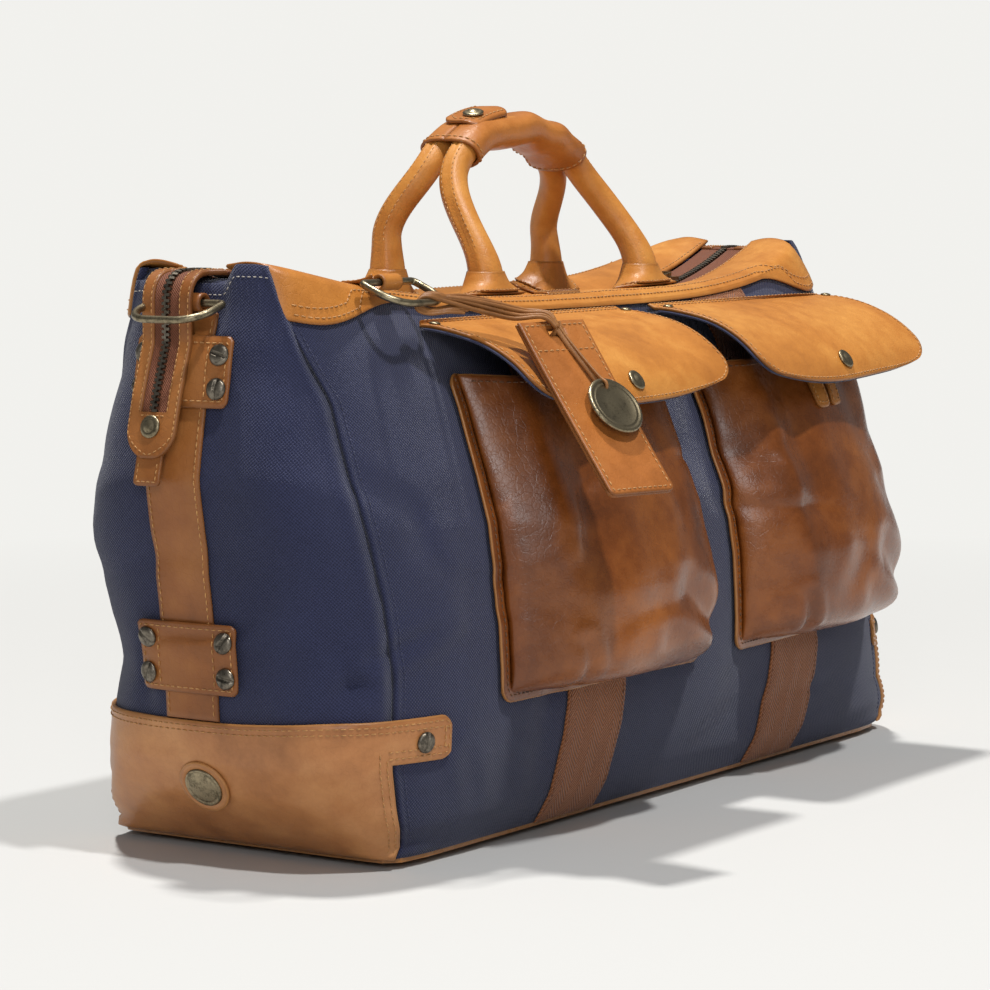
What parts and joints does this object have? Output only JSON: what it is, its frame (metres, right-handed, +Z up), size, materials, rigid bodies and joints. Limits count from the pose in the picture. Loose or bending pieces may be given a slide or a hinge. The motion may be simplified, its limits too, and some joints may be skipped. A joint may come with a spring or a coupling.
{
  "type": "weekender bag",
  "caption": "Soft canvas weekender bag with leather yokes, end boots, bellows pockets with lifting flaps, paired rolled handles in a snap wrap, a top zip and swinging D rings.",
  "frame": {"origin": "underside of the middle foot, centred under the flat base", "axes": "+X along the bag to its right end seen from the pocket side, -Y towards the pockets, +Z up"},
  "size_m": [0.6989, 0.3307, 0.4293],
  "materials": {
    "canvas": "plain weave, matt",
    "lining": "plain cotton, matt",
    "board": "matt stiffener board",
    "tan_leather": "oiled golden tan, low sheen, pale stitching",
    "brown_leather": "oiled chestnut brown, soft gloss on the folds",
    "twill_tape": "fine twill, matt",
    "webbing": "herringbone weave, matt",
    "core": "twisted cotton cord",
    "foot": "dark, satin",
    "old_brass": "antique, dark in the hollows, worn bright on the edges"
  },
  "bodies": {
    "bag": {"base_panel": "brown_leather", "base_board": "board", "feet": "foot", "front_panel": "canvas", "rear_panel": "canvas", "gusset_left": "canvas", "gusset_right": "canvas", "lining": "lining", "yoke_front": "tan_leather", "yoke_rear": "tan_leather", "zip_tape_front": "twill_tape", "zip_tape_rear": "twill_tape", "zip_teeth": "old_brass", "boot_left": "brown_leather", "boot_right": "brown_leather", "badge_left": "old_brass", "badge_right": "old_brass", "webbing_front_left": "webbing", "webbing_front_right": "webbing", "webbing_rear_left": "webbing", "webbing_rear_right": "webbing", "end_strap_left": "tan_leather", "end_strap_right": "tan_leather", "ring_plate_left": "tan_leather", "ring_plate_right": "tan_leather", "lower_plate_left": "tan_leather", "lower_plate_right": "tan_leather", "end_studs": "old_brass", "boot_studs": "old_brass", "pocket_left": "brown_leather", "pocket_right": "brown_leather", "pocket_tabs": "tan_leather", "handle_roots": "tan_leather", "handle_patches": "tan_leather", "ring_keeper": "tan_leather", "tag_laces": "brown_leather"},
    "zip_slider": {"zip_slider": "old_brass"},
    "zip_pull": {"zip_pull": "old_brass"},
    "tail_left": {"zip_tail_left": "tan_leather", "zip_snap_left": "old_brass"},
    "tail_right": {"zip_tail_right": "tan_leather", "zip_snap_right": "old_brass"},
    "ring_left": {"d_ring_left": "old_brass"},
    "ring_right": {"d_ring_right": "old_brass"},
    "flap_left": {"flap_left": "tan_leather", "flap_lining_left": "canvas", "flap_snap_left": "old_brass"},
    "flap_right": {"flap_right": "tan_leather", "flap_lining_right": "canvas", "flap_snap_right": "old_brass"},
    "tag": {"tag": "tan_leather"},
    "medallion": {"medallion": "old_brass"},
    "handles": {"handle_front": "tan_leather", "handle_rear": "tan_leather", "handle_cores": "core", "handle_wrap": "brown_leather"},
    "tongue": {"wrap_tongue": "brown_leather", "wrap_snap": "old_brass"},
    "front_ring": {"front_ring": "old_brass"}
  },
  "joints": [
    {"name": "zip_slide", "type": "slide", "parent": "bag", "child": "zip_slider", "axis": [0.9972, 0, 0.0748], "range_m": [-0.15, 0.005]},
    {"name": "zip_pull_lift", "type": "hinge", "parent": "zip_slider", "child": "zip_pull", "pos_m": [0.17, 0, 0.31767], "axis": [0, 1, 0], "range_deg": [0, 150]},
    {"name": "tail_left_lift", "type": "hinge", "parent": "bag", "child": "tail_left", "pos_m": [-0.333, 0, 0.33359], "axis": [0, 1, 0], "range_deg": [0, 20]},
    {"name": "tail_right_lift", "type": "hinge", "parent": "bag", "child": "tail_right", "pos_m": [0.253, 0, 0.33244], "axis": [0, -1, 0], "range_deg": [0, 14]},
    {"name": "ring_left_swing", "type": "hinge", "parent": "bag", "child": "ring_left", "pos_m": [-0.3466, 0, 0.317], "axis": [0, 1, 0], "range_deg": [-10, 60]},
    {"name": "ring_right_swing", "type": "hinge", "parent": "bag", "child": "ring_right", "pos_m": [0.27938, 0, 0.317], "axis": [0, -1, 0], "range_deg": [-10, 60]},
    {"name": "flap_left_lift", "type": "hinge", "parent": "bag", "child": "flap_left", "pos_m": [-0.118, -0.073, 0.3013], "axis": [-1, 0, 0], "range_deg": [-5, 90], "deforming": ["tag_laces"]},
    {"name": "flap_right_lift", "type": "hinge", "parent": "bag", "child": "flap_right", "pos_m": [0.142, -0.073, 0.3013], "axis": [-1, 0, 0], "range_deg": [-5, 85]},
    {"name": "tag_swing", "type": "hinge", "parent": "flap_left", "child": "tag", "pos_m": [-0.19112, -0.14044, 0.29705], "axis": [-0.9781, 0.2079, 0], "range_deg": [0, 60]},
    {"name": "medallion_swing", "type": "hinge", "parent": "tag", "child": "medallion", "pos_m": [-0.18974, -0.17243, 0.26987], "axis": [-0.9781, 0.2079, 0], "range_deg": [0, 80]},
    {"name": "handles_lean", "type": "hinge", "parent": "bag", "child": "handles", "pos_m": [-0.014, 0, 0.316], "axis": [1, 0, 0], "range_deg": [-7, 7]},
    {"name": "tongue_lift", "type": "hinge", "parent": "handles", "child": "tongue", "pos_m": [-0.05, 0.018, 0.4243], "axis": [-0.9744, 0, -0.225], "range_deg": [0, 100]},
    {"name": "front_ring_swing", "type": "hinge", "parent": "bag", "child": "front_ring", "pos_m": [-0.258, -0.072, 0.327], "axis": [-1, 0, 0], "range_deg": [-10, 50]}
  ]
}
